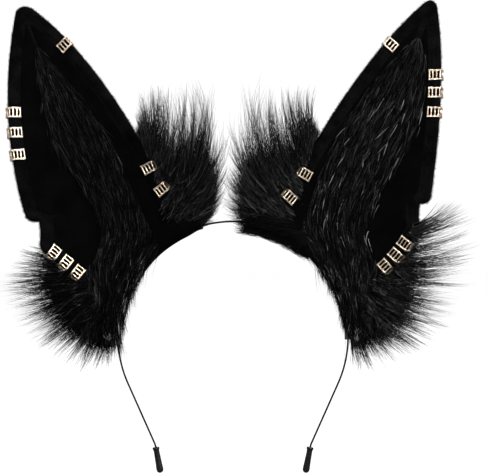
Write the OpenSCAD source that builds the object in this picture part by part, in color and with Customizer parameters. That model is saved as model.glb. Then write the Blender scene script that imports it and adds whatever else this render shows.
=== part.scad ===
// Furry animal ears on a sprung wire headband, with clip-on metal cuffs on the ears' edges.
// The band lies in the XZ plane and its arc is centred on the origin. The ears face -Y.
// Everything is drawn for the left side (-X) and mirrored for the right, whose ear is narrower.

/* [Band] */
// Radius of the band's arc, to the middle of its wire
band_radius = 66; // [65:0.5:67]
// Diameter of the coated spring wire
wire_d = 1; // [0.8:0.1:1.2]
// Angle from the crown, down each side, at which the arc turns into a straight leg
arc_end = 114; // [112:1:116]
// Length of the straight leg
leg_length = 37.5; // [34:0.5:41]
// Half angle of the short stretch of wire at the crown
crown_half = 6; // [5:0.5:7]
// Angle that the wire bends through above each end cap, towards upright
end_bend = 14; // [10:1:18]
// Diameter of the rubber end cap
cap_d = 3.4; // [3:0.1:4]
// Length of the rubber end cap
cap_length = 15; // [13:0.5:17]

/* [Ear] */
// Lean of the ear from upright, outwards
ear_lean = 22.3; // [21.5:0.1:23]
// Angle from the crown to the middle of the ear's seat on the band
seat_angle = 55; // [54.5:0.1:55.5]
// How much nearer the crown the right ear sits than the left one, in degrees
right_ear_shift = 2.5; // [0:0.5:3]
// Radius that the ear's sheet is curled to, at the middle of its thickness
curl_radius = 84.5; // [80:0.5:90]
// How far behind the band the ear's spine is
spine_back = 7; // [6:0.5:8]
// Thickness of the plush back panel
back_thick = 2.2; // [2:0.1:2.4]
// Thickness of the felt core, and of the frame wire that runs round it
core_thick = 1.2; // [1:0.1:1.4]
// Thickness of the front lining
lining_thick = 1.2; // [1:0.1:1.4]
// Depth of the long fur on the front
front_fur_depth = 5; // [3:0.5:6]

/* [Base] */
// Angle from the crown at which the fabric base starts
base_start = 15.5; // [15:0.5:16]
// Angle from the crown at which the fabric base ends
base_end = 94; // [93:0.5:95]
// Thickness of the fabric base below the wire
base_below = 3.2; // [3:0.1:3.4]
// Height of the fabric base above the wire
base_above = 6; // [5.5:0.5:6.5]
// Wall of the sleeve that the wire slides in
sleeve_wall = 1.2; // [1:0.1:1.4]
// Gap between the wire and its sleeve
sleeve_gap = 0.3; // [0.25:0.05:0.35]

/* [Cuffs] */
// Width of a cuff along the ear's edge
cuff_width = 6; // [5:0.5:6]
// Thickness of a cuff's band
cuff_wall = 0.8; // [0.7:0.05:0.9]
// Gap between a cuff and the ear inside it
cuff_gap = 0.4; // [0.35:0.05:0.45]
// Reach of a cuff's arms past its middle, into the ear
cuff_arm = 3.2; // [3:0.1:3.5]

/* [Hidden] */
$fn = 64;
SIDES = ["left", "right"];
EAR_PARTS = [
    "back_panel", "core", "frame_wire", "outer_lining", "inner_lining",
    "centre_fur", "inner_tuft", "outer_tuft", "sleeve", "base_wrap"
];
CUFF_PARTS = [
    "tip_cuff", "outer_cuff_upper", "outer_cuff_middle", "outer_cuff_lower",
    "inner_cuff_upper", "inner_cuff_lower",
    "lobe_cuff_upper", "lobe_cuff_middle", "lobe_cuff_lower"
];
BAND_PARTS = ["band_wire", "end_cap"];

wire_r = wire_d / 2;
split_gap = 0.15;
end_bend_radius = 10;
joint_bead_r = wire_r + 0.03;
socket_depth = 9;
cap_ball_r = cap_d / 2 + 0.2;
cap_collar_r = cap_d / 2 + 0.25;

// The layers of the ear, as radii of the curled sheet from its front to its back
sheet_thick = back_thick + core_thick + lining_thick;
front_r = curl_radius - sheet_thick / 2;
core_front_r = front_r + lining_thick;
core_back_r = core_front_r + core_thick;
back_r = curl_radius + sheet_thick / 2;
curl_y = spine_back - curl_radius;

// Where the ear's edge is cut, so that it stays nearly square to the curled sheet
front_cut_r = front_r + 0.8;
back_cut_r = core_back_r + 0.6;

// The rim of the back panel, and the frame wire inside it
rim_fold = 1.6;
frame_inset = rim_fold + core_thick;
base_top = band_radius + base_above;
base_front = 9;
base_back = 10;
base_corner = 2;
sleeve_inner = wire_r + sleeve_gap;
sleeve_outer = sleeve_inner + sleeve_wall;

// Points along a smooth curve from a start, by way of a heading, short of its end
function curve(path, steps) = [for (i = [0 : steps - 1]) point_on(path, i / steps)];
function point_on(path, t) =
    (1 - t) ^ 2 * path[0] + 2 * t * (1 - t) * path[1] + t ^ 2 * path[2];
function heading_on(path, t) =
    (1 - t) * (path[1] - path[0]) + t * (path[2] - path[1]);
function unit(v) = v / norm(v);

// The ears' edges, flat, on the left ear and then on the right one, which is a little narrower:
// x across the ear towards the crown, y up its spine. Each is a start, a heading and an end.
tip_edge = [[[0, 163], [-4, 168], [-9, 165]], [[-2.5, 161.5], [-6, 168], [-10.5, 163]]];
outer_edge = [[[-9, 165], [-41.7, 114.5], [-47.6, 54]], [[-10.5, 163], [-30.1, 126.6], [-43.7, 58]]];
notch_top = [[[-47.6, 54], [-48, 49], [-42, 47.5]], [[-43.7, 58], [-44.3, 53.5], [-39.3, 52.3]]];
notch_side = [[[-42, 47.5], [-43, 41], [-46, 36]], [[-39.3, 52.3], [-40.3, 46], [-43.3, 40.5]]];
lobe_top = [[[-46, 36], [-47, 33.5], [-46, 31]], [[-43.3, 40.5], [-44.5, 38], [-43.5, 35.5]]];
lobe_edge = [[[-46, 31], [-39.5, 18], [-33, 5]], [[-43.5, 35.5], [-41.5, 21], [-33, 5]]];
root_edge = [for (side = SIDES) [[44.4, 15.9], [32.5, 30], [31, 54]]];
inner_edge = [[[31, 54], [23.1, 125.5], [0, 163]], [[31, 54], [19.3, 122], [-2.5, 161.5]]];

// Which of each pair is a side's
function index(side) = side == "left" ? 0 : 1;

// A side's whole outline, anticlockwise. The left lobe's edge is straight.
function outline(i) = concat(
    curve(tip_edge[i], 4),
    curve(outer_edge[i], 10),
    curve(notch_top[i], 4),
    curve(notch_side[i], 3),
    curve(lobe_top[i], 2),
    curve(lobe_edge[i], i == 0 ? 1 : 5),
    [[-33, 5], [-33, -33], [-10, -40], [40, 0], [43, 8]],
    curve(root_edge[i], 8),
    curve(inner_edge[i], 10)
);

// The outline moved inwards by a gap
function inset(points, gap) = [
    for (i = [0 : len(points) - 1])
        let (
            before = points[(i + len(points) - 1) % len(points)],
            after = points[(i + 1) % len(points)],
            along = unit(after - before)
        )
        points[i] + gap * [-along.y, along.x]
];

// The outline where the edge is cut at a radius of the sheet
function cut_at(i, radius) = [for (p = outline(i)) [p.x * radius / curl_radius, p.y]];
back_line = [for (i = [0, 1]) cut_at(i, back_cut_r)];
front_line = [for (i = [0, 1]) cut_at(i, front_cut_r)];
rim_line = [for (i = [0, 1]) inset(front_line[i], rim_fold)];
frame_line = [for (i = [0, 1]) inset(front_line[i], frame_inset)];

// The strip of long fur up the front of the ear, and the side of the ear towards the crown
fur_strip = [
    [-6, 141], [-10, 134], [-15, 112], [-18.5, 89], [-13, 67], [-9, 38], [-11, 22],
    [-21, 11], [-27, 7], [-40, 1], [-40, -45], [24, -12], [15, 12], [13, 38], [13.6, 69],
    [11, 86], [5.4, 110], [-2, 134]
];
crown_side = [[-6, 175], [-6, 141], [-10, 60], [0, 30], [0, -30], [60, -30], [60, 175]];

// The space that each tuft of long fur fills
inner_tuft_outline = [
    [12, 40], [16, 72], [22, 90], [42, 94], [58, 91], [66, 78], [66, 52], [61, 29], [50, 12], [30, 12]
];
outer_tuft_outline = [
    [-12, 34], [-44, 38], [-62, 42], [-75, 24], [-79, -5], [-71, -24], [-52, -36],
    [-34, -39], [-20, -30], [-8, 0]
];
tuft_front = 8;
inner_tuft_front = 1;
tuft_back = 22;

// Where each cuff sits: the edge it is on, and how far along it, on the left and right ears
cuff_seats = [
    [inner_edge, [0.7, 0.69]],
    [outer_edge, [0.5, 0.425]],
    [outer_edge, [0.6, 0.52]],
    [outer_edge, [0.71, 0.62]],
    [root_edge, [0.97, 0.84]],
    [root_edge, [0.66, 0.48]],
    [lobe_edge, [0.17, 0.285]],
    [lobe_edge, [0.47, 0.555]],
    [lobe_edge, [0.77, 0.82]]
];
cuff_inner = sheet_thick / 2 + cuff_gap;
cuff_outer = cuff_inner + cuff_wall;
cuff_end_gap = 0.6;
cuff_corner = 0.8;
cuff_reach = 3.2;
cuff_bead_r = 0.55;
cuff_hole_r = 0.95;
cuff_hole_pitch = 2.7;
cuff_play = 3;

plush = "#1c1c1f";
fur = "#141416";
felt = "#2a2a2c";
metal = "#dcb98a";
rubber = "#101012";
lacquer = "#19191b";

// Placing a child -----------------------------------------------------------------------

module for_side(side) {
    if (side == "left") children();
    if (side == "right") mirror([1, 0, 0]) children();
}

module seat_ear(side) {
    rotate([0, side == "right" ? -right_ear_shift : 0, 0]) for_side(side) children();
}

// Out on the band, with Z up the ear's spine and X across it towards the crown
module ear_frame() {
    rotate([0, -seat_angle, 0])
        translate([0, 0, band_radius])
            rotate([0, seat_angle - ear_lean, 0]) children();
}

// A section turned along the band, from one angle to another, left of the crown
module along_band(start, end) {
    rotate([90, 0, 0]) rotate([0, 0, 90 + start]) rotate_extrude(angle = end - start) children();
}

// On the ear's curled sheet, a cuff's reach inside its edge: X along the edge, Z inwards
module on_edge(path, t) {
    edge = point_on(path, t);
    slope = asin(edge.x / curl_radius);
    heading = heading_on(path, t);
    along = unit([heading.x / cos(slope), heading.y]);
    seat = [curl_radius * slope * PI / 180, edge.y] + cuff_reach * [-along.y, along.x];
    translate([0, curl_y, seat.y])
        rotate([0, 0, -seat.x / curl_radius * 180 / PI])
            translate([0, curl_radius, 0])
                rotate([0, -atan2(along.y, along.x), 0]) children();
}

// Building blocks -----------------------------------------------------------------------

// A flat outline drawn out from front to back
module slab(points, front, back) {
    translate([0, back, 0]) rotate([90, 0, 0]) linear_extrude(front + back) polygon(points);
}

module spine_cylinder(radius) {
    translate([0, curl_y, -60]) cylinder(r = radius, h = 240);
}

// One layer of the curled sheet, cut to the children's outline and clear of the base
module layer(inner, outer) {
    difference() {
        intersection() {
            translate([0, 20, 0]) rotate([90, 0, 0]) linear_extrude(60) children();
            spine_cylinder(outer);
        }
        spine_cylinder(inner);
        base_cylinder(base_top);
    }
}

// A cylinder about the band's own centre, in the ear's frame
module base_cylinder(radius) {
    rotate([0, ear_lean - seat_angle, 0])
        translate([0, 0, -band_radius])
            rotate([90, 0, 0]) cylinder(r = radius, h = 100, center = true, $fn = 180);
}

module rounded_box(low, high, radius) {
    translate([low.x + radius, low.y]) square([high.x - low.x - 2 * radius, high.y - low.y]);
    translate([low.x, low.y + radius]) square([high.x - low.x, high.y - low.y - 2 * radius]);
    for (x = [low.x + radius, high.x - radius], y = [low.y + radius, high.y - radius])
        translate([x, y]) circle(radius);
}

// Band ----------------------------------------------------------------------------------

// The end of the arc, where the leg leaves along -X
module leg_frame() {
    rotate([0, -arc_end, 0]) translate([0, 0, band_radius]) children();
}

// The end of the bend below the leg, where the cap's axis runs along -X
module cap_frame() {
    leg_frame()
        translate([-leg_length, 0, end_bend_radius])
            rotate([0, end_bend, 0]) translate([0, 0, -end_bend_radius]) children();
}

module crown_wire() {
    gap_angle = split_gap / band_radius * 180 / PI;
    color(lacquer)
        along_band(-crown_half + gap_angle, crown_half - gap_angle)
            translate([band_radius, 0]) circle(wire_r);
}

module band_wire(side) {
    color(lacquer) for_side(side) {
        along_band(crown_half, arc_end) translate([band_radius, 0]) circle(wire_r);
        leg_frame() sphere(joint_bead_r);
        leg_frame() rotate([0, -90, 0]) cylinder(r = wire_r, h = leg_length);
        leg_frame() translate([-leg_length, 0, 0]) sphere(joint_bead_r);
        leg_frame() translate([-leg_length, 0, end_bend_radius])
            rotate([90, 0, 0])
                rotate([0, 0, -90 - end_bend])
                    rotate_extrude(angle = end_bend) translate([end_bend_radius, 0]) circle(wire_r);
        cap_frame() sphere(joint_bead_r);
        cap_frame() rotate([0, -90, 0]) cylinder(r = wire_r, h = socket_depth);
    }
}

// A soft sleeve with a rolled collar, a ball end and a socket for the wire
module end_cap(side) {
    color(rubber) for_side(side) cap_frame() rotate([0, -90, 0]) difference() {
        union() {
            translate([0, 0, 1]) cylinder(r = cap_d / 2, h = cap_length - cap_ball_r - 1);
            translate([0, 0, 1]) rotate_extrude() {
                square([cap_collar_r - 0.6, 0.6]);
                translate([cap_collar_r - 0.6, 0]) circle(0.6);
            }
            translate([0, 0, cap_length - cap_ball_r]) sphere(cap_ball_r);
        }
        translate([0, 0, -1]) cylinder(r = wire_r, h = socket_depth + 1);
        translate([0, 0, -5]) cylinder(r = joint_bead_r + 0.1, h = 5.4 + joint_bead_r);
    }
}

// Ear -----------------------------------------------------------------------------------

module back_panel(side) {
    color(plush) seat_ear(side) ear_frame() {
        layer(core_back_r, back_r) polygon(back_line[index(side)]);
        layer(front_r, core_back_r) difference() {
            polygon(front_line[index(side)]);
            polygon(rim_line[index(side)]);
        }
    }
}

module frame_wire(side) {
    color("silver") seat_ear(side) ear_frame() layer(core_front_r, core_back_r) difference() {
        polygon(rim_line[index(side)]);
        polygon(frame_line[index(side)]);
    }
}

module core(side) {
    color(felt) seat_ear(side) ear_frame()
        layer(core_front_r, core_back_r) polygon(frame_line[index(side)]);
}

module outer_lining(side) {
    color(plush) seat_ear(side) ear_frame() layer(front_r, core_front_r) difference() {
        polygon(rim_line[index(side)]);
        polygon(fur_strip);
        polygon(crown_side);
    }
}

module inner_lining(side) {
    color(plush) seat_ear(side) ear_frame() layer(front_r, core_front_r) difference() {
        intersection() {
            polygon(rim_line[index(side)]);
            polygon(crown_side);
        }
        polygon(fur_strip);
    }
}

module centre_fur(side) {
    color(fur) seat_ear(side) ear_frame()
        layer(front_r - front_fur_depth, core_front_r) intersection() {
            polygon(rim_line[index(side)]);
            polygon(fur_strip);
        }
}

// The room that a cuff needs as it slides
module cuff_room(path, t) {
    room = 2 * (cuff_outer + cuff_bead_r + cuff_gap);
    on_edge(path, t) cube([cuff_width + 2 * cuff_play, room, 4 * cuff_arm], center = true);
}

// A block of fur with the ear, the base and the cuffs' room taken out of it
module tuft(points, front, first_cuff, last_cuff, side) {
    difference() {
        slab(points, front, tuft_back);
        intersection() {
            slab(inset(back_line[index(side)], -0.4), 60, 20);
            spine_cylinder(back_r);
        }
        base_cylinder(base_top);
        for (seat = [for (i = [first_cuff : last_cuff]) cuff_seats[i]])
            cuff_room(seat[0][index(side)], seat[1][index(side)]);
    }
}

module inner_tuft(side) {
    color(fur) seat_ear(side) ear_frame()
        tuft(inner_tuft_outline, inner_tuft_front, 4, 5, side);
}

module outer_tuft(side) {
    color(fur) seat_ear(side) ear_frame()
        tuft(outer_tuft_outline, tuft_front, 6, 8, side);
}

module sleeve(side) {
    color(felt) seat_ear(side) along_band(base_start, base_end)
        translate([band_radius, 0]) difference() {
            circle(sleeve_outer);
            circle(sleeve_inner);
        }
}

module base_wrap(side) {
    color(plush) seat_ear(side) along_band(base_start, base_end) difference() {
        rounded_box([band_radius - base_below, -base_back], [base_top, base_front], base_corner);
        translate([band_radius, 0]) circle(sleeve_outer);
    }
}

// Cuffs ---------------------------------------------------------------------------------

// The section of a cuff: a box open at its top, where the ear goes in
module cuff_section(half, base, corner) {
    intersection() {
        rounded_box([-half, base], [half, 2 * cuff_arm], corner);
        translate([-half, base]) square([2 * half, cuff_arm - base]);
    }
}

// A band bent over the ear's edge, with beaded ends and a pierced pattern
module cuff() {
    base = -cuff_reach - cuff_end_gap;
    difference() {
        union() {
            rotate([90, 0, 90]) linear_extrude(cuff_width, center = true) difference() {
                cuff_section(cuff_outer, base - cuff_wall, cuff_corner + cuff_wall);
                cuff_section(cuff_inner, base, cuff_corner);
            }
            for (y = [-1, 1])
                translate([-cuff_width / 2, y * (cuff_outer - 0.1), cuff_arm])
                    rotate([0, 90, 0]) cylinder(r = cuff_bead_r, h = cuff_width);
        }
        for (x = [-1, 1]) {
            for (z = [-1, 0])
                translate([x * cuff_hole_pitch / 2, 0, cuff_arm + (z - 0.7) * cuff_hole_pitch])
                    rotate([90, 0, 0]) cylinder(r = cuff_hole_r, h = 20, center = true);
            translate([x * cuff_hole_pitch / 2, 0, -20]) cylinder(r = cuff_hole_r, h = 20);
        }
    }
}

module placed_cuff(side, i) {
    seat = cuff_seats[i];
    color(metal) seat_ear(side) ear_frame()
        on_edge(seat[0][index(side)], seat[1][index(side)]) cuff();
}

crown_wire();
for (side = SIDES) {
    band_wire(side);
    end_cap(side);
    back_panel(side);
    core(side);
    frame_wire(side);
    outer_lining(side);
    inner_lining(side);
    centre_fur(side);
    inner_tuft(side);
    outer_tuft(side);
    sleeve(side);
    base_wrap(side);
    for (i = [0 : len(CUFF_PARTS) - 1])
        placed_cuff(side, i);
}
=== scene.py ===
"""The looks of a furry animal ears headband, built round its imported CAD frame.

Each ear is worked out flat, in millimetres, in its own frame: x across the ear towards the crown,
z up its spine and y to the back. Its sheet is curled about an axis in front of it, and the ear is
then seated on the band. The right ear is drawn for the left side too, a little narrower, and then
mirrored and set a little nearer the crown.
"""

import math

import bpy
import numpy as np
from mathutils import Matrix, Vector


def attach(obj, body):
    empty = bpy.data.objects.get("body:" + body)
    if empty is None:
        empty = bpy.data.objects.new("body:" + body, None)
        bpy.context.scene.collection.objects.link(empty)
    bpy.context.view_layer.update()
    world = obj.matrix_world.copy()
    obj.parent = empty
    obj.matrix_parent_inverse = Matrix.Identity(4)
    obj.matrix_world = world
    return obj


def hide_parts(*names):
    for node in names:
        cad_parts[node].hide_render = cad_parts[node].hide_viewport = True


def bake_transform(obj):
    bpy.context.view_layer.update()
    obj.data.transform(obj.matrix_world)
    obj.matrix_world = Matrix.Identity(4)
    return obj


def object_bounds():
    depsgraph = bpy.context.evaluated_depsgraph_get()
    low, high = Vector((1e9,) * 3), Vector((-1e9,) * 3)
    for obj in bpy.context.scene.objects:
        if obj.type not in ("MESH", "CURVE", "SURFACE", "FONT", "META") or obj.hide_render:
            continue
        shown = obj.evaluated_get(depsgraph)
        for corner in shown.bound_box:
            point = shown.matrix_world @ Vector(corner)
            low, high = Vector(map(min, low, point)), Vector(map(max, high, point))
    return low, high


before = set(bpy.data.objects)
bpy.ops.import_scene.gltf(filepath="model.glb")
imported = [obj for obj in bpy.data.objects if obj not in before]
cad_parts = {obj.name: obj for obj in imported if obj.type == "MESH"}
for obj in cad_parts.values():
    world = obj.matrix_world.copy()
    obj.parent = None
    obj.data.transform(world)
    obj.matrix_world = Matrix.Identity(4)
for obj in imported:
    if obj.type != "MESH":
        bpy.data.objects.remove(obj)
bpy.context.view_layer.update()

MM = 0.001
SIDES = ("left", "right")

# Sizes in millimetres and angles in degrees, as in the CAD.
# The band: half of its crown piece, its arc, a straight leg, a small bend and the end in its cap
BAND_R = 66
ARC_END = 114
LEG = 37.5
END_BEND = 14
END_BEND_R = 10
SOCKET = 9
CAP_LENGTH = 15
# The ears: where they sit on the band, how far they lean from it, and their sheet's curl
SEAT_ANGLE = 55
EAR_LEAN = 22.3
RIGHT_SHIFT = 2.5
CURL_R = 84.5
CURL_Y = 7 - CURL_R
SHEET = 4.6
HALF_SHEET = SHEET / 2
# The base: its two ends as angles from the crown, and its section
BASE_START, BASE_END = 15.5, 94
BASE_LOW, BASE_TOP = BAND_R - 3.2, BAND_R + 6
BASE_FRONT, BASE_BACK = -9, 10
# The cuffs: their width, how far their middle is inside the ear's edge, and their section
CUFF_WIDTH = 6
CUFF_REACH = 3.2
CUFF_HALF = HALF_SHEET + 0.4
CUFF_WALL = 0.8
CUFF_END = CUFF_REACH + 0.6
CUFF_ARM = 3.2
# The wire is drawn a little thicker than the CAD's, which is 0.5
WIRE_R = 0.54

# The ears' edges, flat, on the left ear and then on the right one, which is a little narrower.
# Each is a start, a point that it heads for, and an end.
TIP_EDGE = (((0, 163), (-4, 168), (-9, 165)), ((-2.5, 161.5), (-6, 168), (-10.5, 163)))
OUTER_EDGE = (((-9, 165), (-41.7, 114.5), (-47.6, 54)), ((-10.5, 163), (-30.1, 126.6), (-43.7, 58)))
NOTCH_TOP = (((-47.6, 54), (-48, 49), (-42, 47.5)), ((-43.7, 58), (-44.3, 53.5), (-39.3, 52.3)))
NOTCH_SIDE = (((-42, 47.5), (-43, 41), (-46, 36)), ((-39.3, 52.3), (-40.3, 46), (-43.3, 40.5)))
LOBE_TOP = (((-46, 36), (-47, 33.5), (-46, 31)), ((-43.3, 40.5), (-44.5, 38), (-43.5, 35.5)))
LOBE_EDGE = (((-46, 31), (-39.5, 18), (-33, 5)), ((-43.5, 35.5), (-41.5, 21), (-33, 5)))
ROOT_EDGE = (((44.4, 15.9), (32.5, 30), (31, 54)),) * 2
INNER_EDGE = (((31, 54), (23.1, 125.5), (0, 163)), ((31, 54), (19.3, 122), (-2.5, 161.5)))
BAND_CENTRE = np.array((35.66, -55.5))

# The wedge of long fur up the front: where its two sides are at each height, on each ear
WEDGE_HEIGHTS = (-40, 10, 22, 38, 67, 89, 112, 134, 141)
WEDGE = {
    "left": (
        (-34, -30, -13, -9, -13, -18.5, -15, -10, -6),
        (24, 15.5, 15, 13, 13.6, 10.5, 4.8, -2, -5),
    ),
    "right": (
        (-34, -31, -16, -13, -18, -23, -21, -14, -8),
        (24, 19, 20, 19, 18.5, 15, 8, -1, -5),
    ),
}


def wedge_sides(side, z):
    return (np.interp(z, WEDGE_HEIGHTS, x) for x in WEDGE[side])


# Each cuff's edge, and how far along it the cuff sits on the left and right ears
CUFF_SEATS = {
    "tip_cuff": (INNER_EDGE, (0.7, 0.69)),
    "outer_cuff_upper": (OUTER_EDGE, (0.5, 0.425)),
    "outer_cuff_middle": (OUTER_EDGE, (0.6, 0.52)),
    "outer_cuff_lower": (OUTER_EDGE, (0.71, 0.62)),
    "inner_cuff_upper": (ROOT_EDGE, (0.97, 0.84)),
    "inner_cuff_lower": (ROOT_EDGE, (0.66, 0.48)),
    "lobe_cuff_upper": (LOBE_EDGE, (0.17, 0.285)),
    "lobe_cuff_middle": (LOBE_EDGE, (0.47, 0.555)),
    "lobe_cuff_lower": (LOBE_EDGE, (0.77, 0.82)),
}


# Places ---------------------------------------------------


def turn_y(degrees):
    c, s = math.cos(math.radians(degrees)), math.sin(math.radians(degrees))
    return np.array(((c, 0, s), (0, 1, 0), (-s, 0, c)))


def turn_z(degrees):
    c, s = math.cos(math.radians(degrees)), math.sin(math.radians(degrees))
    return np.array(((c, -s, 0), (s, c, 0), (0, 0, 1)))


SEAT = turn_y(-SEAT_ANGLE) @ (0, 0, BAND_R)


def unit(v):
    v = np.asarray(v, float)
    return v / np.maximum(np.linalg.norm(v, axis=-1, keepdims=True), 1e-9)


def to_side(points, side):
    """Points drawn for the left side, on the side asked for."""
    return points * (-1, 1, 1) if side == "right" else points


def from_ear(points, side):
    """Points in the ear's own frame, out in the object's frame."""
    out = to_side(points @ turn_y(-EAR_LEAN).T + SEAT, side)
    return out @ turn_y(-RIGHT_SHIFT).T if side == "right" else out


def on_sheet(flat, radius):
    """Flat points of the ear, on the curled sheet at a radius."""
    x, z = flat[..., 0], flat[..., 1]
    return np.stack((x, CURL_Y + np.sqrt(np.maximum(radius**2 - x**2, 1)), z), -1)


def sheet_y(x, radius):
    """How far back the curled sheet is at a radius, held level past its edges."""
    return CURL_Y + np.sqrt(radius**2 - np.clip(x, -60, 60) ** 2)


def point_on(path, t):
    """Points on an edge, which is a start, a point that it heads for, and an end."""
    a, b, c = (np.asarray(p, float) for p in path)
    t = np.asarray(t, float)[..., None]
    return (1 - t) ** 2 * a + 2 * t * (1 - t) * b + t**2 * c


def heading_on(path, t):
    a, b, c = (np.asarray(p, float) for p in path)
    t = np.asarray(t, float)[..., None]
    return (1 - t) * (b - a) + t * (c - b)


def run_of(path):
    """How far along a polyline each of its points is."""
    return np.concatenate(([0], np.cumsum(np.linalg.norm(np.diff(path, axis=0), axis=1))))


def even(path, step=0.5):
    """A polyline with a point every step, as near as its length allows."""
    path = np.asarray(path, float)
    run = run_of(path)
    where = np.linspace(0, run[-1], max(3, int(run[-1] / step)))
    return np.stack([np.interp(where, run, path[:, k]) for k in range(path.shape[1])], -1)


def curve(path, steps=24):
    return point_on(path, np.linspace(0, 1, steps))


def curve_through(points, steps):
    """A smooth curve through points."""
    ends = np.concatenate([points[:1], points, points[-1:]])
    a, b, c, d = ends[:-3], ends[1:-2], ends[2:-1], ends[3:]
    t = np.linspace(0, 1, steps, endpoint=False)[:, None, None]
    out = b + 0.5 * t * (c - a + t * (2 * a - 5 * b + 4 * c - d + t * (3 * (b - c) + d - a)))
    return np.concatenate([out.transpose(1, 0, 2).reshape(-1, 2), points[-1:]])


def along_line(line, q, like=None):
    """Points at fractions of a polyline's length, or of another's with as many points."""
    line = np.asarray(line, float)
    run = run_of(line if like is None else np.asarray(like, float))
    return np.stack([np.interp(q * run[-1], run, line[:, k]) for k in (0, 1)], -1)


def band_arc(radius, start, end, steps=80):
    """Flat points of an arc about the band's centre, between two angles from the crown."""
    a = np.radians(np.linspace(start, end, steps))
    row = np.stack((-radius * np.sin(a), radius * np.cos(a)), -1)
    seat_at, lean = math.radians(SEAT_ANGLE), math.radians(EAR_LEAN)
    seat = BAND_R * np.array((-math.sin(seat_at), math.cos(seat_at)))
    c, s = math.cos(lean), math.sin(lean)
    return (row - seat) @ np.array(((c, -s), (s, c)))


# The sheet's lower edge, which is tucked into the base
BOTTOM = even(band_arc(BASE_TOP - 2, BASE_END - 1, BASE_START + 2))


def side_lines(k):
    """An ear's outer, top and inner edges from its base up, as flat polylines."""
    parts = [LOBE_EDGE, LOBE_TOP, NOTCH_SIDE, NOTCH_TOP, OUTER_EDGE]
    outer = [BOTTOM[:1], [(-33, -28)]] + [curve(edges[k])[::-1] for edges in parts]
    inner = [BOTTOM[-1:], curve(ROOT_EDGE[k]), curve(INNER_EDGE[k])]
    return even(np.concatenate(outer)), curve(TIP_EDGE[k])[::-1], even(np.concatenate(inner))


LINES = {side: side_lines(k) for k, side in enumerate(SIDES)}
# An ear's whole edge, up its outer side, over its tip and down its inner side
RIM_LINE = {
    side: np.concatenate([outer, tip, inner[::-1]]) for side, (outer, tip, inner) in LINES.items()
}


def outer_x(side, z):
    return np.interp(z, LINES[side][0][:, 1], LINES[side][0][:, 0])


def inner_x(side, z):
    return np.interp(z, LINES[side][2][:, 1], LINES[side][2][:, 0])


def from_band(angle, radius, y):
    """Points about the band's centre at angles from the crown, in the ear's frame."""
    a = np.radians(angle)
    out = np.stack(np.broadcast_arrays(-radius * np.sin(a), y, radius * np.cos(a)), -1)
    return (out - SEAT) @ turn_y(-EAR_LEAN)


def rim_gap(side, flat):
    """How far flat points are inside the ear's edge."""
    line = RIM_LINE[side].astype(np.float32)
    flat = flat.reshape(-1, 2).astype(np.float32)
    gaps = [
        np.sqrt(((chunk[:, None] - line) ** 2).sum(-1).min(1))
        for chunk in np.array_split(flat, 40)
    ]
    return np.concatenate(gaps)


def smooth(x, low, high):
    """Eases from 0 at low to 1 at high, which may be the lesser of the two."""
    t = np.clip((x - low) / (high - low), 0, 1)
    return t * t * (3 - 2 * t)


def round_circle(count):
    return np.linspace(0, 2 * math.pi, count, endpoint=False)


def bump(x, middle, width):
    """A smooth hump, 1 at its middle."""
    return np.exp(-(((x - middle) / width) ** 2))


def ripple(flat, rng, length, waves=7):
    """Soft uneven waves over flat points, from about -1 to 1."""
    total = 0
    for _ in range(waves):
        turn, phase = rng.uniform(0, 2 * math.pi, 2)
        size = length * rng.uniform(0.7, 1.6)
        along = flat[..., 0] * math.cos(turn) + flat[..., 1] * math.sin(turn)
        total = total + np.sin(2 * math.pi * along / size + phase)
    return total / math.sqrt(waves) / 1.5


# Building -------------------------------------------------


def grid(rows, columns, first=0):
    """Quads over a grid of points that are kept row by row."""
    corner = (first + np.arange(rows - 1)[:, None] * columns + np.arange(columns - 1)).ravel()
    return np.stack((corner, corner + 1, corner + columns + 1, corner + columns), -1)


def ring_grid(rings, sides):
    """Quads round a tube whose points are kept ring by ring."""
    ring = np.arange(rings - 1).repeat(sides)
    side = np.tile(np.arange(sides), rings - 1)
    low, after = ring * sides, (side + 1) % sides
    return np.stack((low + side, low + after, low + sides + after, low + sides + side), -1)


def closed_rings(rings):
    """A closed solid through rings of points, as points and faces."""
    count, sides = rings.shape[:2]
    ends = np.stack((np.arange(sides)[::-1], (count - 1) * sides + np.arange(sides)))
    return rings.reshape(-1, 3), [ring_grid(count, sides), ends]


def tube(path, radius, normal, sides=8):
    """A closed tube along a path, whose rings start on the normal's side."""
    ahead = unit(np.gradient(path, axis=0))
    normal = np.broadcast_to(normal, path.shape)
    normal = unit(normal - (normal * ahead).sum(-1, keepdims=True) * ahead)
    across = np.cross(ahead, normal)
    turn = round_circle(sides)[:, None]
    section = np.cos(turn) * normal[:, None] + np.sin(turn) * across[:, None]
    return closed_rings(path[:, None] + radius * section)


def ball(centre, radius, sides=10):
    """A small ball, as points and faces."""
    rise = np.linspace(-0.995, 0.995, sides // 2 + 2)
    turn = round_circle(sides)
    level = np.sin(rise * math.pi / 2)
    ring = np.sqrt(1 - level**2)
    x, y = ring[:, None] * np.cos(turn), ring[:, None] * np.sin(turn)
    z = np.broadcast_to(level[:, None], x.shape)
    return closed_rings(np.asarray(centre) + radius * np.stack((x, y, z), -1))


def two_sided(front, back):
    """A closed solid between two grids of points, the first in front of the second."""
    rows, columns = front.shape[:2]
    size = rows * columns
    index = np.arange(size).reshape(rows, columns)
    loop = np.concatenate((index[0, :-1], index[:-1, -1], index[-1, :0:-1], index[:0:-1, 0]))
    after = np.roll(loop, -1)
    edge = np.stack((after, loop, loop + size, after + size), -1)
    faces = [grid(rows, columns), grid(rows, columns, size)[:, ::-1], edge]
    return np.concatenate((front.reshape(-1, 3), back.reshape(-1, 3))), [np.concatenate(faces)]


def merge(parts):
    """Several solids as one."""
    points, faces, count = [], [], 0
    for part_points, part_faces in parts:
        points.append(part_points)
        faces += [group + count for group in part_faces]
        count += len(part_points)
    return np.concatenate(points), faces


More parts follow.
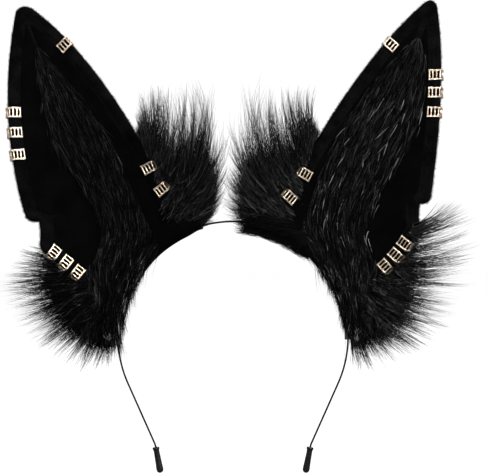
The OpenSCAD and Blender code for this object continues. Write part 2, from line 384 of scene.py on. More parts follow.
def add_piece(name, solid, side, materials, tones=0):
    """A mesh object from a solid in the object's frame, in millimetres.

    The tones are the index of each face's material, or of them all.
    """
    points, faces = solid
    # The right side is mirrored, which turns its faces inside out
    if side == "right":
        faces = [group[:, ::-1] for group in faces]
    sizes = np.concatenate([np.full(len(group), group.shape[1]) for group in faces])
    corners = np.concatenate([group.ravel() for group in faces]).astype(np.int32)
    mesh = bpy.data.meshes.new(name)
    mesh.vertices.add(len(points))
    mesh.vertices.foreach_set("co", (points * MM).astype(np.float32).ravel())
    mesh.loops.add(len(corners))
    mesh.loops.foreach_set("vertex_index", corners)
    mesh.polygons.add(len(sizes))
    starts = np.concatenate(([0], np.cumsum(sizes)[:-1]))
    mesh.polygons.foreach_set("loop_start", starts.astype(np.int32))
    tones = np.broadcast_to(tones, len(sizes))
    mesh.polygons.foreach_set("material_index", tones.astype(np.int32))
    mesh.polygons.foreach_set("use_smooth", np.ones(len(sizes), bool))
    mesh.update(calc_edges=True)
    for material in materials:
        mesh.materials.append(material)
    piece = bpy.data.objects.new(name, mesh)
    bpy.context.scene.collection.objects.link(piece)
    return piece


def add_ear_piece(name, solid, side, materials, tones=0):
    """A mesh object from a solid in an ear's own frame."""
    points, faces = solid
    return add_piece(name, (from_ear(points, side), faces), side, materials, tones)


# Materials ------------------------------------------------


def principled(name, tone, values):
    """A material with one Principled shader, with values set on its sockets."""
    material = bpy.data.materials.new(name)
    material.use_nodes = True
    inputs = material.node_tree.nodes["Principled BSDF"].inputs
    inputs["Base Color"].default_value = (*tone, 1)
    for socket, value in values.items():
        inputs[socket].default_value = value
    return material


def worked(name, tones, sizes, roughness, depth, values):
    """A material with two tones in patches and grain, whose roughness and bump follow them.

    The sizes of the patches and the grain, and the depth of the bump, are in millimetres.
    """
    material = principled(name, tones[0], values)
    nodes, link = material.node_tree.nodes, material.node_tree.links.new
    shader = nodes["Principled BSDF"]
    place = nodes.new("ShaderNodeTexCoord")
    noises = []
    for size in sizes:
        noise = nodes.new("ShaderNodeTexNoise")
        noise.inputs["Scale"].default_value = 1 / (size * MM)
        noise.inputs["Detail"].default_value = 3
        link(place.outputs["Object"], noise.inputs["Vector"])
        noises.append(noise.outputs["Fac"])
    both = nodes.new("ShaderNodeMath")
    both.operation = "MULTIPLY"
    link(noises[0], both.inputs[0])
    link(noises[1], both.inputs[1])
    ramp = nodes.new("ShaderNodeValToRGB")
    # Two noises multiplied are mostly between these
    for stop, position, tone in zip(ramp.color_ramp.elements, (0.16, 0.36), tones):
        stop.position, stop.color = position, (*tone, 1)
    link(both.outputs["Value"], ramp.inputs["Fac"])
    link(ramp.outputs["Color"], shader.inputs["Base Color"])
    rough = nodes.new("ShaderNodeMapRange")
    rough.inputs["To Min"].default_value, rough.inputs["To Max"].default_value = roughness
    link(noises[1], rough.inputs["Value"])
    link(rough.outputs["Result"], shader.inputs["Roughness"])
    nap = nodes.new("ShaderNodeBump")
    nap.inputs["Distance"].default_value = depth * MM
    link(noises[1], nap.inputs["Height"])
    link(nap.outputs["Normal"], shader.inputs["Normal"])
    return material


def grey(level):
    """A grey that is very slightly blue."""
    return (level, level, level * 1.03)


def gloss(level):
    return {"Specular IOR Level": level}


METAL = {"Metallic": 1.0}
COATED = {"Coat Weight": 0.12, "Coat Roughness": 0.12}
GOLD_TONES = (0.62, 0.45, 0.31), (0.95, 0.84, 0.70)

VELVET = worked("velvet", (grey(0.0006), grey(0.0014)), (14, 0.5), (0.8, 1), 0.5, gloss(0.01))
PLUSH = worked("short_plush", (grey(0.001), grey(0.0038)), (9, 0.7), (0.8, 1), 0.7, gloss(0.01))
PELT = worked("fur_backing", (grey(0.0005), grey(0.0015)), (6, 0.8), (0.8, 1), 0.8, gloss(0.01))
FELT = worked("felt", (grey(0.03), grey(0.06)), (5, 0.6), (0.85, 1), 0.4, gloss(0.2))
STEEL = worked("frame_steel", (grey(0.45), grey(0.6)), (8, 0.4), (0.25, 0.45), 0.03, METAL)
LACQUER = worked(
    "lacquered_wire", (grey(0.002), grey(0.006)), (10, 0.5), (0.4, 0.6), 0.04, gloss(0.1)
)
RUBBER = worked(
    "cap_rubber", (grey(0.003), grey(0.008)), (4, 0.4), (0.2, 0.36), 0.05, gloss(0.2) | COATED
)
CHAMPAGNE = worked("champagne_metal", GOLD_TONES, (1.6, 0.35), (0.18, 0.36), 0.05, METAL)
# The fur's tones: how grey each is, how rough and how glossy. The lightest is a painted highlight,
# and the one before it partly so: light strands that stand in for the black fur's shine.
FUR_TONES = (
    (0.0006, 0.6, 0.03),
    (0.002, 0.5, 0.08),
    (0.007, 0.35, 0.3),
    (0.035, 0.28, 0.5),
    (0.3, 0.3, 0.8),
)
NAP_TONES = ((0.001, 0.8, 0.02), (0.004, 0.7, 0.04))
# How many strands in a hundred have each tone
FUR_SHARES = (66, 24, 8.5, 1.4, 0.1)
# Painted light: more light strands for the right ear's front fur, on the side where more light
# falls
PAINTED_LIT_SIDE_SHARES = (58, 27, 13, 2, 0)
# Painted light: more light strands for the inner tufts and the right ear's tufts, where light
# catches them
PAINTED_LIT_TUFT_SHARES = (36, 34, 25, 5, 0)
# Painted highlights: these strands take only the two lightest tones
PAINTED_GLINT_SHARES = (0, 0, 0, 50, 50)
NAP_SHARES = (60, 40)


def strand_materials(name, tones):
    return [
        principled(f"{name}_{i}", grey(level), {"Roughness": rough} | gloss(shine))
        for i, (level, rough, shine) in enumerate(tones)
    ]


FUR = strand_materials("long_fur", FUR_TONES)
NAP = strand_materials("short_nap", NAP_TONES)


# Fur ------------------------------------------------------


# A direction that strands don't follow, which their sections are turned by
STRAND_SKEW = (0.31, 0.87, 0.17)


def bezier(root, knee, tip, steps):
    """Curves from roots to tips that head for their knees, with so many points each."""
    s = np.linspace(0, 1, steps)[:, None]
    root, knee, tip = (p[:, None] for p in (root, knee, tip))
    return (1 - s) ** 2 * root + 2 * s * (1 - s) * knee + s**2 * tip


def lock(paths, rng, share, pull):
    """Draws strands together towards the tips of a few leaders, as fur lies in locks."""
    count, steps = paths.shape[:2]
    leaders = rng.choice(count, max(2, int(count * share)), replace=False)
    near = np.concatenate([
        ((chunk[:, None] - paths[leaders, 0]) ** 2).sum(-1).argmin(1)
        for chunk in np.array_split(paths[:, 0], 30)
    ])
    s = np.linspace(0, 1, steps)[:, None] ** 1.4
    return paths + (paths[leaders][near] - paths) * s * pull * rng.uniform(0.4, 1, (count, 1, 1))


def wander(paths, rng, amount):
    """Bends each strand a little its own way, more towards its tip."""
    count, steps = paths.shape[:2]
    s = np.linspace(0, 1, steps)[:, None]
    way, turn = rng.normal(size=(2, count, 1, 3))
    return paths + amount * (way * s**1.5 + 0.35 * turn * np.sin(s * 5 + turn))


def off_cuffs(paths, seats, room=4.2):
    """Which strands stay clear of the cuffs, and do not lie in front of them."""
    s = np.linspace(0, paths.shape[1] - 1, 14)
    low = np.minimum(s.astype(int), paths.shape[1] - 2)
    part = (s - low)[:, None]
    dense = paths[:, low] * (1 - part) + paths[:, low + 1] * part
    keep = np.ones(len(paths), bool)
    for seat in seats:
        gap = dense - seat
        gap[..., 1] = np.maximum(gap[..., 1], 0)
        keep &= ((gap**2).sum(-1) > room**2).all(1)
    return keep


def strand_solid(paths, radius):
    """Three-sided tubes that taper along each path to a point at its end."""
    count, steps = paths.shape[:2]
    ahead = unit(np.gradient(paths, axis=1))
    across = unit(np.cross(ahead, STRAND_SKEW))
    third = np.cross(ahead, across)
    taper = radius[:, None] * (1 - 0.75 * np.linspace(0, 1, steps)[:-1] ** 1.3)
    turn = round_circle(3)[:, None]
    section = np.cos(turn) * across[:, :-1, None] + np.sin(turn) * third[:, :-1, None]
    rings = paths[:, :-1, None] + taper[:, :, None, None] * section
    each = 3 * (steps - 1) + 1
    points = np.concatenate((rings.reshape(count, -1, 3), paths[:, -1:]), 1).reshape(-1, 3)
    first = np.arange(count)[:, None, None] * each
    quads = (first + ring_grid(steps - 1, 3)).reshape(-1, 4)
    last = 3 * (steps - 2) + np.arange(3)
    ends = np.stack((last, 3 * (steps - 2) + (np.arange(3) + 1) % 3, np.full(3, each - 1)), -1)
    return points, [quads, (first + ends).reshape(-1, 3)]


def add_fur(name, side, paths, rng, thick, shares=FUR_SHARES, materials=FUR):
    """A piece of fur whose strands follow paths in the ear's frame."""
    count, steps = paths.shape[:2]
    tone = rng.choice(len(shares), count, p=np.array(shares) / sum(shares))
    solid = strand_solid(paths, thick * rng.uniform(0.7, 1.25, count) * (1 + 0.12 * tone))
    by_face = np.concatenate((np.repeat(tone, 3 * (steps - 2)), np.repeat(tone, 3)))
    piece = add_ear_piece(name, solid, side, materials, by_face)
    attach(piece, f"{side}_ear")
    return piece


def cuff_frame(path, t):
    """Where a cuff sits, in the ear's frame: its middle, and its axes as columns."""
    edge, heading = point_on(path, t), heading_on(path, t)
    slope = math.asin(edge[0] / CURL_R)
    along = unit((heading[0] / math.cos(slope), heading[1]))
    seat = np.array((CURL_R * slope, edge[1])) + CUFF_REACH * np.array((-along[1], along[0]))
    lean = seat[0] / CURL_R
    middle = np.array((CURL_R * math.sin(lean), CURL_Y + CURL_R * math.cos(lean), seat[1]))
    turn = turn_z(-math.degrees(lean)) @ turn_y(-math.degrees(math.atan2(along[1], along[0])))
    return middle, turn


# Ear shell and linings ------------------------------------

SHELL_ROWS, SHELL_COLUMNS = 230, 76
# How far inside the ear's edge the rim's seam is
SEAM = 6.6
# How far in front of the sheet's middle the shell is inside the seam, under the linings
UNDER_LINING = 1.3
# Half of the sheet's thickness at its very edge
LEAST_HALF = 0.12


def rounded(x):
    """Rises from 0 at 0 to 1 at 1, as a quarter of a circle does, and stays there."""
    return np.sqrt(1 - (1 - np.clip(x, 0, 1)) ** 2)


def shell_grid(side):
    """Flat points over the whole ear, blended between its four edges."""
    across = (1 - np.cos(np.linspace(0, math.pi, SHELL_COLUMNS))) / 2
    up = 1 - (1 - np.linspace(0, 1, SHELL_ROWS)) ** 1.5

    def along(line, t):
        run = np.linspace(0, 1, len(line))
        return np.stack([np.interp(t, run, line[:, k]) for k in (0, 1)], -1)

    outer, tip, inner = LINES[side]
    bottom, top = along(BOTTOM, across)[None], along(even(tip, 0.1), across)[None]
    left, right = along(outer, up)[:, None], along(inner, up)[:, None]
    u, v = across[None, :, None], up[:, None, None]
    corners = (1 - v) * ((1 - u) * bottom[:, :1] + u * bottom[:, -1:])
    corners = corners + v * ((1 - u) * top[:, :1] + u * top[:, -1:])
    return (1 - v) * bottom + v * top + (1 - u) * left + u * right - corners


def build_shell(side, rng):
    """The ear's plush back, folded to the front as a smooth rim, over a ground for the linings."""
    flat = shell_grid(side)
    gap = rim_gap(side, flat).reshape(flat.shape[:2])
    gap[:, 0] = gap[:, -1] = gap[-1] = 0
    edge = rounded(gap / HALF_SHEET)
    low = smooth(gap, SEAM - 2.5, SEAM + 0.4)
    front = edge * HALF_SHEET * (1 - low) + UNDER_LINING * low
    back = edge * HALF_SHEET + 0.3 * ripple(flat, rng, 34) * smooth(gap, 1, 12)
    front += 0.2 * ripple(flat, rng, 16) * smooth(gap, 0.5, 3) * (1 - low)
    front = on_sheet(flat, CURL_R - np.maximum(front, LEAST_HALF))
    solid = two_sided(front, on_sheet(flat, CURL_R + np.maximum(back, LEAST_HALF)))
    shell = add_ear_piece(f"{side}_shell", solid, side, [PLUSH])
    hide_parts(f"{side}_back_panel")
    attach(shell, f"{side}_ear")


def build_base(side, rng):
    """The padded velvet roll that wraps the band under the ear, with rounded ends."""
    far = BASE_END - 2.5
    end_round, squareness = 2.6, 0.72
    angle = np.linspace(BASE_START, far, 150)
    turn = round_circle(64)
    run = np.radians(np.minimum(angle - BASE_START, far - angle)) * BAND_R
    end = 0.45 + 0.55 * rounded(run / end_round)[:, None]
    c, s = np.cos(turn), np.sin(turn)
    high = (BASE_TOP - BASE_LOW) / 2 * np.sign(c) * np.abs(c) ** squareness
    deep = (BASE_BACK - BASE_FRONT) / 2 * np.sign(s) * np.abs(s) ** squareness
    place = np.stack(np.broadcast_arrays(angle[:, None], turn * 9), -1)
    puff = 1 + 0.035 * ripple(place, rng, 15)
    seam = 0.5 * bump(np.degrees(turn), 115, 4)
    radius = (BASE_TOP + BASE_LOW) / 2 + end * puff * high - seam
    # Underneath, the left one is thin at its crown end and the right one sags there
    thin = 1 - smooth(angle, BASE_START, 25) if side == "left" else -2.6 * bump(angle, 20, 7)
    thin = thin + 1.3 * smooth(angle, 78, far)
    radius = radius + 1.5 * thin[:, None] * np.maximum(-c, 0)
    y = (BASE_FRONT + BASE_BACK) / 2 + end * puff * deep
    solid = closed_rings(from_band(angle[:, None], radius, y))
    base = add_ear_piece(f"{side}_base_roll", solid, side, [VELVET])
    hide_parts(f"{side}_base_wrap")
    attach(base, f"{side}_ear")


# How far the skin that the front fur lies on is in front of the sheet's middle
SKIN = 1.6
# The base roll's front: how far back it is, at each distance from the band's centre
ROLL_REACH = (59, 62.8, 64.5, 67.4, 70.5, 72.5)
ROLL_Y = (0, -6, -8.3, -9.2, -8.6, -4.5)
# Each lining's lowest and highest levels
LINING_ENDS = {"outer": (10.5, 156), "inner": (0, 155)}
LINING_ROWS, LINING_COLUMNS = 190, 44
# How far from the band's centre the inner lining ends, under the roll
LINING_FOOT = 64.2


def skin_y(flat):
    """How far back the skin is at flat points, over the sheet and the base roll."""
    reach = np.linalg.norm(flat - BAND_CENTRE, axis=-1)
    sheet = sheet_y(flat[..., 0], CURL_R) - SKIN
    roll = np.interp(reach, ROLL_REACH, ROLL_Y)
    w = smooth(reach, 70, 77)
    return w * sheet + (1 - w) * roll


def build_lining(side, which, rng):
    """A velvet panel of the front, from the rim's seam to under the long fur."""
    outer = which == "outer"
    low, high = LINING_ENDS[which]
    level = np.linspace(low, high, LINING_ROWS)[:, None]
    a = (1 - np.cos(np.linspace(0, math.pi, LINING_COLUMNS))) / 2

    def columns(z):
        edge_x = outer_x if outer else inner_x
        slant = np.hypot(1, (edge_x(side, z + 1) - edge_x(side, z - 1)) / 2)
        seam = (SEAM + 0.2) * np.minimum(slant, 1.35)
        tuck = 4 * smooth(z, 145, 130)
        fur_outer, fur_inner = wedge_sides(side, z)
        if outer:
            start, end = outer_x(side, z) + seam, fur_outer + tuck
        else:
            start, end = fur_inner - tuck, inner_x(side, z) - seam
        return start + (np.maximum(end, start + 0.4) - start) * a

    x = columns(level)
    # The inner panel goes on down over the roll, to its lower edge
    foot = BAND_CENTRE[1] + np.sqrt(LINING_FOOT**2 - np.clip(x - BAND_CENTRE[0], -60, 60) ** 2)
    floor_z = np.full(x.shape, float(low)) if outer else foot
    z = floor_z + (high - floor_z) * (level - low) / (high - low)
    x = columns(z)
    flat = np.stack((x, z), -1)
    inside = np.minimum(x - x[:, :1], x[:, -1:] - x)
    inside = np.minimum(inside, high - z)
    y = skin_y(flat)
    front = y + 0.8 - rounded(inside / 3) * (1.15 + 0.3 * ripple(flat, rng, 26))
    solid = two_sided(*(np.stack((x, depth, z), -1) for depth in (front, y + 1.3)))
    lining = add_ear_piece(f"{side}_{which}_velvet", solid, side, [VELVET])
    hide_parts(f"{side}_{which}_lining")
    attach(lining, f"{side}_ear")


# Front fur ------------------------------------------------


def down_fur(side, flat):
    """The way that the front fur lies: down the wedge, then round with the band."""
    x, z = flat[..., 0], flat[..., 1]
    drop = 6.0
    outer, inner = wedge_sides(side, z)
    lower_outer, lower_inner = wedge_sides(side, z - drop)
    a = np.clip((x - outer) / (inner - outer), 0, 1)
    drift = (1 - a) * (lower_outer - outer) + a * (lower_inner - inner)
    wedge = unit(np.stack((0.6 * drift, np.full(x.shape, -drop)), -1))
    out = flat - BAND_CENTRE
    reach = np.linalg.norm(out, axis=-1, keepdims=True)
    round_band = np.stack((-out[..., 1], out[..., 0]), -1) / np.maximum(reach, 1)
    w = 0.8 * np.exp(-np.maximum(reach - BAND_R, 0) / 15)
    return unit((1 - w) * wedge + w * round_band)


def comb(side, roots, lengths, rise, rng, steps=5, spread=0.16):
    """Fur that lies over the front's skin, from flat roots: paths in the ear's frame."""
    count = len(roots)
    stray = rng.normal(0, spread, (count, 2))
    step = (lengths / (steps - 1))[:, None]
    flat = [roots]
    for _ in range(steps - 1):
        flat.append(flat[-1] + step * unit(down_fur(side, flat[-1]) + stray))
    flat = np.stack(flat, 1)
    s = np.linspace(0, 1, steps)
    height = rise[:, None] * (0.06 + 1.5 * s - 0.55 * s**2)
    return np.stack((flat[..., 0], skin_y(flat) - height, flat[..., 1]), -1)


def wedge_roots(side, count, rng, low, high, widen):
    """Flat roots in the wedge between two levels, and a share of its width past its sides."""
    z = rng.uniform(low, high, count)
    a = rng.uniform(-widen, 1 + widen, count)
    outer, inner = wedge_sides(side, z)
    return np.stack((outer + (inner - outer) * a, z), -1)


# How much a lock strays: along its line, and in the way that it points
LOCK_DRIFT, LOCK_TURN = 0.03, 0.09
# How much a lock's strands stray: along the line, across it, at the tips, and in depth
ROOT_DRIFT, ROW_DRIFT, TIP_DRIFT, DEPTH_DRIFT = 0.014, 0.05, 0.45, 0.7
# The most that a strand goes past the second line, for its spread
MOST_PAST = 2.3


def fan(count, rng, each, far, lines, rows, depths, lift, bow, spread, steps=6):
    """Long fur in locks that spread from one flat line towards a second, and on to a third.

    Each is how many strands a lock has, and far the share of the locks that pass the second line,
    by a mean share of the way to the third that is spread. Rows are how far past the first line
    the roots are, as shares of the way to the second, and depths how far behind the sheet's middle.
    Lift is how far a strand leans back and bow how far it bends, for its length.
    """
    locks = count // each
    q = rng.uniform(0, 1, locks)
    start = rng.uniform(*rows, locks)
    short = rng.uniform(0.6, 1.04, locks)
    past = np.where(rng.uniform(size=locks) < far, rng.exponential(spread, locks), 0)
    y = rng.uniform(*depths, locks)
    leans = lift * rng.uniform(-0.6, 1, locks)
    stray = rng.normal(0, LOCK_TURN, (locks, 2))
    bows = bow * rng.uniform(0.3, 1.7, locks)

    own = rng.integers(0, locks, count)
    at_q = np.clip(q + rng.normal(0, LOCK_DRIFT, locks), 0, 1)
    line, core, tip = (along_line(points, at_q, lines[1]) for points in lines)
    past = np.minimum(past, MOST_PAST * spread)[:, None]
    end = np.where(past > 0, core + (tip - core) * past, line + (core - line) * short[:, None])
    reach = np.linalg.norm(end - line, axis=1, keepdims=True)
    end = (line + unit(unit(end - line) + stray) * reach)[own]
    root_q = np.clip(q[own] + rng.normal(0, ROOT_DRIFT, count), 0, 1)
    first, second = (along_line(points, root_q, lines[1]) for points in lines[:2])
    root = first + (second - first) * (start[own] + rng.normal(0, ROW_DRIFT, count))[:, None]
    share = rng.uniform(0.7, 1, count)[:, None]
    end = root + (end - root) * share + rng.normal(0, TIP_DRIFT, (count, 2))
    way, reach = unit(end - root), np.linalg.norm(end - root, axis=1)
    y = y[own] + rng.normal(0, DEPTH_DRIFT, count)
    end_y = y + leans[own] * reach
    side_way = np.stack((-way[:, 1], way[:, 0]), -1)
    knee = (root + end) / 2 + side_way * (bows[own] * reach)[:, None]
    root, knee, end = (
        np.stack((p[:, 0], h, p[:, 1]), -1)
        for p, h in ((root, y), (knee, y + 0.35 * (end_y - y)), (end, end_y))
    )
    return bezier(root, knee, end, steps)


# Tufts ----------------------------------------------------

# The tufts, flat: where most of their fur ends, where its tips reach, and where it is rooted. Each
# ear's are its own, and the right inner one hangs lower.
INNER_CORE = {
    "left": (
        (31, 80), (36, 69), (42, 60), (49, 54), (55, 54), (61, 56),
        (62, 46), (62, 36), (60, 28), (54, 21), (49, 15),
    ),
    "right": (
        (31, 76), (37, 68), (43, 59), (49, 52), (55, 51), (62, 53),
        (64, 45), (64, 30), (62, 21), (56, 14), (49, 8),
    ),
}
INNER_REACH = {
    "left": (
        (40, 97), (50, 92), (57, 88), (62, 86), (67, 86), (74, 91),
        (74, 64), (72, 46), (68, 32), (59, 19), (50, 12),
    ),
    "right": (
        (41, 94), (51, 88), (59, 83), (63, 81), (68, 82), (75, 88),
        (75, 60), (73, 36), (71, 23), (65, 10), (55, 2),
    ),
}
INNER_BACK_ROOTS = dict.fromkeys(SIDES, (
    (28, 68), (29, 59), (31, 46), (34, 39), (37, 33), (40, 28),
    (41, 24), (42, 21), (43, 18), (42, 15), (41, 12),
))
INNER_FRONT_ROOTS = dict.fromkeys(SIDES, (
    (29, 62), (29, 54), (28, 43), (26, 35), (25, 28), (26, 22),
    (28, 18), (30, 15), (32, 12), (33, 10), (33, 8),
))
OUTER_CORE = {
    "left": (
        (-47, 33), (-49, 24), (-50, 16), (-54, 13), (-56, 3),
        (-55, -9), (-51, -19), (-45, -28), (-37, -33), (-27, -33),
    ),
    "right": (
        (-44, 38), (-46, 28), (-49, 18), (-52, 8), (-54, 0),
        (-55, -9), (-53, -19), (-48, -28), (-41, -34), (-30, -35),
    ),
}
OUTER_REACH = {
    "left": (
        (-53, 38), (-59, 29), (-64, 21), (-69, 18), (-68, 3),
        (-66, -13), (-60, -25), (-52, -35), (-40, -41), (-27, -40),
    ),
    "right": (
        (-52, 52), (-62, 44), (-67, 32), (-68, 19), (-68, 6),
        (-70, -7), (-67, -20), (-59, -32), (-48, -41), (-35, -48),
    ),
}
OUTER_ROOTS = {
    "left": (
        (-42, 31), (-40, 20), (-38, 13), (-36, 8), (-34, 1),
        (-33, -6), (-31, -12), (-29, -17), (-27, -21), (-25, -24),
    ),
    "right": (
        (-40, 40), (-39, 28), (-37, 17), (-35, 9), (-34, 2),
        (-33, -5), (-31, -12), (-29, -18), (-27, -22), (-25, -25),
    ),
}


def by_side(*tables):
    return {side: [table[side] for table in tables] for side in SIDES}


INNER_BACK = by_side(INNER_BACK_ROOTS, INNER_CORE, INNER_REACH)
INNER_FRONT = by_side(INNER_FRONT_ROOTS, INNER_CORE, INNER_REACH)
OUTER_TUFT = by_side(OUTER_ROOTS, OUTER_CORE, OUTER_REACH)
# Each part of a tuft, with its lines, rows, depths, lift, bow and spread, as fan takes them
TUFTS = (
    ("inner", "back", INNER_BACK, (-0.5, 0.5), (2.5, 9), 0.2, -0.2, 0.55),
    ("inner", "front", INNER_FRONT, (0, 0.5), (-5, -2.2), 0.06, -0.12, 0.55),
    ("outer", "back", OUTER_TUFT, (-0.5, 0.35), (2.5, 9), 0.2, 0.05, 0.85),
    ("outer", "front", OUTER_TUFT, (-0.2, 0.4), (-6, 0), 0.1, 0.05, 0.85),
)
# How many strands each layer of fur has, and how thick they are
LONG_STRANDS, LONG_R = 4800, 0.12
STRAY_STRANDS, STRAY_R = 900, 0.1
COMBED_STRANDS, COMBED_R = 8500, 0.1
BASE_FUR_R = 0.11
# The strands that are painted highlights, over the base and on the right wedge
PAINTED_GLINTS, PAINTED_WEDGE_GLINTS = 360, 70
DRAPED_STRANDS = 3000
NAP_STRANDS, NAP_R = 16000, 0.09
FUZZ_STRANDS, FUZZ_R = 12000, 0.07
# How many strands a tuft's lock has, and the share of the locks that go past its core
LOCK_SIZE = 4
FAR_SHARE = 0.34


def build_pelt(side, which, lines, inner, outer, thick):
    """The dark backing that a tuft is sewn to, as a rounded strip behind the ear's edge.

    It goes inner back from the line of the tuft's roots and outer on from it.
    """
    q = np.linspace(0.16, 0.97, 40)
    root = along_line(lines[0], q, lines[1])
    way = unit(along_line(lines[1], q) - root)
    turn = round_circle(24)
    end = rounded(np.maximum(np.minimum(q - q[0], q[-1] - q) / 0.12, 0.03))[:, None]
    reach = (outer - inner) / 2 + end * (outer + inner) / 2 * np.cos(turn)
    flat = root[:, None] + way[:, None] * reach[..., None]
    y = sheet_y(root[:, 0], CURL_R + HALF_SHEET)[:, None] + thick * (0.85 + end * np.sin(turn))
    solid = closed_rings(np.stack((flat[..., 0], y, flat[..., 1]), -1)[::-1])
    pelt = add_ear_piece(f"{side}_{which}_pelt", solid, side, [PELT])
    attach(pelt, f"{side}_ear")


def build_tuft(side, which, part, seats, rng, *shape):
    """One layer of a tuft: locks, and single stray strands that all go past the core."""
    locks = fan(LONG_STRANDS, rng, LOCK_SIZE, FAR_SHARE, *shape)
    strays = fan(STRAY_STRANDS, rng, 1, 1, *shape)
    paths = np.concatenate((locks, strays))
    thick = np.repeat((LONG_R, STRAY_R), (LONG_STRANDS, STRAY_STRANDS))
    paths[..., 1] += sheet_y(paths[:, :1, 0], CURL_R)
    paths = wander(paths, rng, 0.6)
    clear = off_cuffs(paths, seats)
    # The inner tufts and the right ear's tufts take more light strands: painted light, where light
    # catches their fringes
    shares = PAINTED_LIT_TUFT_SHARES if which == "inner" or side == "right" else FUR_SHARES
    fur = add_fur(f"{side}_{which}_tuft_{part}", side, paths[clear], rng, thick[clear], shares)
    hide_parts(f"{side}_{which}_tuft")


def build_front_fur(side, seats, rng):
    """The fur of the wedge and over the base, which replaces the centre fur, and light strands that
    are painted highlights.
    """
    roots = wedge_roots(side, COMBED_STRANDS, rng, 4, 142, 0.02)
    lengths = rng.uniform(9, 17, len(roots)) * (0.65 + 0.35 * smooth(roots[:, 1], 140, 60))
    rise = rng.uniform(0.8, 3.6, len(roots)) * (0.45 + 0.55 * smooth(roots[:, 1], 140, 70))
    paths = wander(lock(comb(side, roots, lengths, rise, rng), rng, 0.07, 0.5), rng, 0.25)
    # The right ear's front fur takes more light strands: painted light, for the side where more
    # light falls
    shares = PAINTED_LIT_SIDE_SHARES if side == "right" else FUR_SHARES
    clear = paths[off_cuffs(paths, seats)]
    fur = add_fur(f"{side}_centre_strands", side, clear, rng, COMBED_R, shares)
    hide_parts(f"{side}_centre_fur")

    paths = base_fur(side, COMBED_STRANDS, 21, rng)
    clear = paths[off_cuffs(paths, seats)]
    add_fur(f"{side}_base_strands", side, clear, rng, BASE_FUR_R)

    # A few light hairs, mostly along the fur's inner side: painted highlights, which stand in for
    # the fur's shine
    paths = base_fur(side, PAINTED_GLINTS, 9, rng)
    # On the right ear, painted highlights also go on the wedge's outer side
    if side == "right":
        roots = wedge_roots(side, PAINTED_WEDGE_GLINTS, rng, 10, 110, 0.03)
        roots[:, 0] -= 5 * rng.beta(1, 2, len(roots))
        lengths, rise = rng.uniform(7, 12, len(roots)), rng.uniform(2.4, 4, len(roots))
        paths = np.concatenate((paths, comb(side, roots, lengths, rise, rng)))
    clear = paths[off_cuffs(paths, seats)]
    add_fur(f"{side}_painted_glints", side, clear, rng, COMBED_R, PAINTED_GLINT_SHARES)


def base_fur(side, count, depth, rng):
    """Fur that hangs down over the base, from its inner side to a depth outwards."""
    angle = 46 + 44 * rng.uniform(0, 1, count) ** 1.1
    reach = 64.4 + 2.6 * smooth(angle, 78, 90) + depth * rng.beta(0.9, 1.5, count)
    place = from_band(angle, reach, 0 * angle)
    roots = np.stack((place[:, 0], place[:, 2]), -1)
    lengths = (6 + 18 * rng.beta(1.5, 2, count)) * (0.3 + 0.7 * smooth(angle, 94, 72))
    rise = rng.uniform(1, 4.5, count)
    return wander(lock(comb(side, roots, lengths, rise, rng), rng, 0.05, 0.8), rng, 0.4)


def build_drape(side, seats, rng):
    """Fur that hangs over the front of the base's crown end, towards the crown and down."""
    longest = 14
    angle = rng.uniform(13, 48, DRAPED_STRANDS)[:, None]
    start = (61.5 + 12 * rng.beta(1, 1.3, DRAPED_STRANDS))[:, None]
    length = rng.uniform(5, longest, DRAPED_STRANDS)[:, None]
    slant = rng.normal(0.35, 0.25, DRAPED_STRANDS)[:, None]
    run = np.linspace(0, 1, 6)
    reach = start - length * run * slant
    # It stops at an uneven hem, a little below the roll
    reach = np.maximum(reach, 59.5 + 1.2 * np.minimum(length / longest, 1) * np.cos(angle * 9))
    place = from_band(angle - np.degrees(length * run / BAND_R), reach, 0 * reach)
    skin = np.minimum(skin_y(place[..., ::2]), -6.5)
    place[..., 1] = skin - rng.uniform(0.6, 3, DRAPED_STRANDS)[:, None] * np.sin(run * 2.4)
    paths = wander(lock(place, rng, 0.05, 0.5), rng, 0.4)
    clear = paths[off_cuffs(paths, seats)]
    add_fur(f"{side}_base_drape", side, clear, rng, COMBED_R, NAP_SHARES)


def build_nap(side, rng):
    """Short pile over the ear's back."""
    flat = rng.uniform((-50, 0), (48, 168), (NAP_STRANDS * 3, 2))
    inside = flat[:, 0] > outer_x(side, flat[:, 1]) + 1
    inside &= (flat[:, 0] < inner_x(side, flat[:, 1]) - 1) & (flat[:, 1] < 160)
    inside &= np.linalg.norm(flat - BAND_CENTRE, axis=1) > BASE_TOP
    flat = flat[inside][:NAP_STRANDS]
    length = rng.uniform(2.6, 4.6, len(flat))[:, None]
    way = unit(rng.normal((0.1, 1.6), 0.5, flat.shape))
    steps = [
        on_sheet(flat + way * length * run, CURL_R + HALF_SHEET - 0.3 + length[:, 0] * up)
        for run, up in ((0, 0), (0.35, 0.3), (0.85, 0.42))
    ]
    nap = add_fur(f"{side}_back_nap", side, np.stack(steps, 1), rng, NAP_R, NAP_SHARES, NAP)


